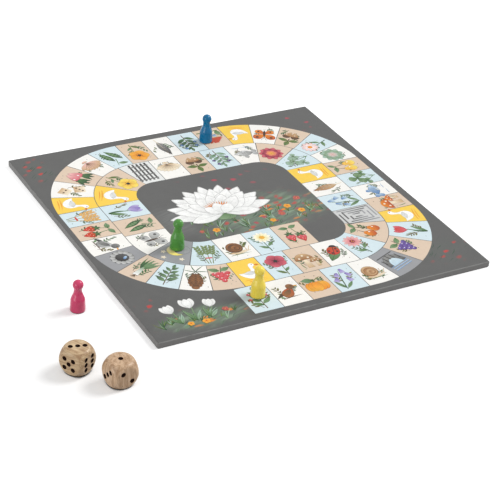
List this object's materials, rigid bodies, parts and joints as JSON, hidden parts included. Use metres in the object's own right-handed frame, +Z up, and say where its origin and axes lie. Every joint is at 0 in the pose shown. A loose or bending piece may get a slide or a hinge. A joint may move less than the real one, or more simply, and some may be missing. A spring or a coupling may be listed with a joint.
{
  "type": "game of the goose board",
  "caption": "Square paper-covered game of the goose board with wrapped edges, turned wooden pawns that lift off it and rounded wooden dice beside it.",
  "frame": {"origin": "middle of the board's underside, on the plane of the table that the dice and the loose pawn also stand on", "axes": "+X to the right along the near edge, +Y away from the near edge, +Z up"},
  "size_m": [0.3645, 0.3262, 0.0309],
  "materials": {
    "greyboard": "raw grey board",
    "grey_print": "satin film over print",
    "liner_paper": "matt dyed paper",
    "blue_paint": "gloss paint on turned wood",
    "green_paint": "gloss paint on turned wood",
    "yellow_paint": "gloss paint on turned wood",
    "pink_paint": "gloss paint on turned wood",
    "beech": "waxed beech with burnt pips"
  },
  "bodies": {
    "board": {"board_core": "greyboard", "printed_sheet": "grey_print", "back_liner": "liner_paper"},
    "blue_pawn": {"blue_pawn": "blue_paint"},
    "green_pawn": {"green_pawn": "green_paint"},
    "yellow_pawn": {"yellow_pawn": "yellow_paint"},
    "pink_pawn": {"pink_pawn": "pink_paint"},
    "left_die": {"left_die": "beech"},
    "right_die": {"right_die": "beech"}
  },
  "joints": [
    {"name": "blue_pawn_lift", "type": "slide", "parent": "board", "child": "blue_pawn", "axis": [0, 0, 1], "range_m": [0, 0.06]},
    {"name": "green_pawn_lift", "type": "slide", "parent": "board", "child": "green_pawn", "axis": [0, 0, 1], "range_m": [0, 0.06]},
    {"name": "yellow_pawn_lift", "type": "slide", "parent": "board", "child": "yellow_pawn", "axis": [0, 0, 1], "range_m": [0, 0.06]},
    {"name": "pink_pawn_lift", "type": "slide", "parent": "board", "child": "pink_pawn", "axis": [0, 0, 1], "range_m": [0, 0.06]},
    {"name": "left_die_lift", "type": "slide", "parent": "board", "child": "left_die", "axis": [0, 0, 1], "range_m": [0, 0.06]},
    {"name": "right_die_lift", "type": "slide", "parent": "board", "child": "right_die", "axis": [0, 0, 1], "range_m": [0, 0.06]}
  ]
}
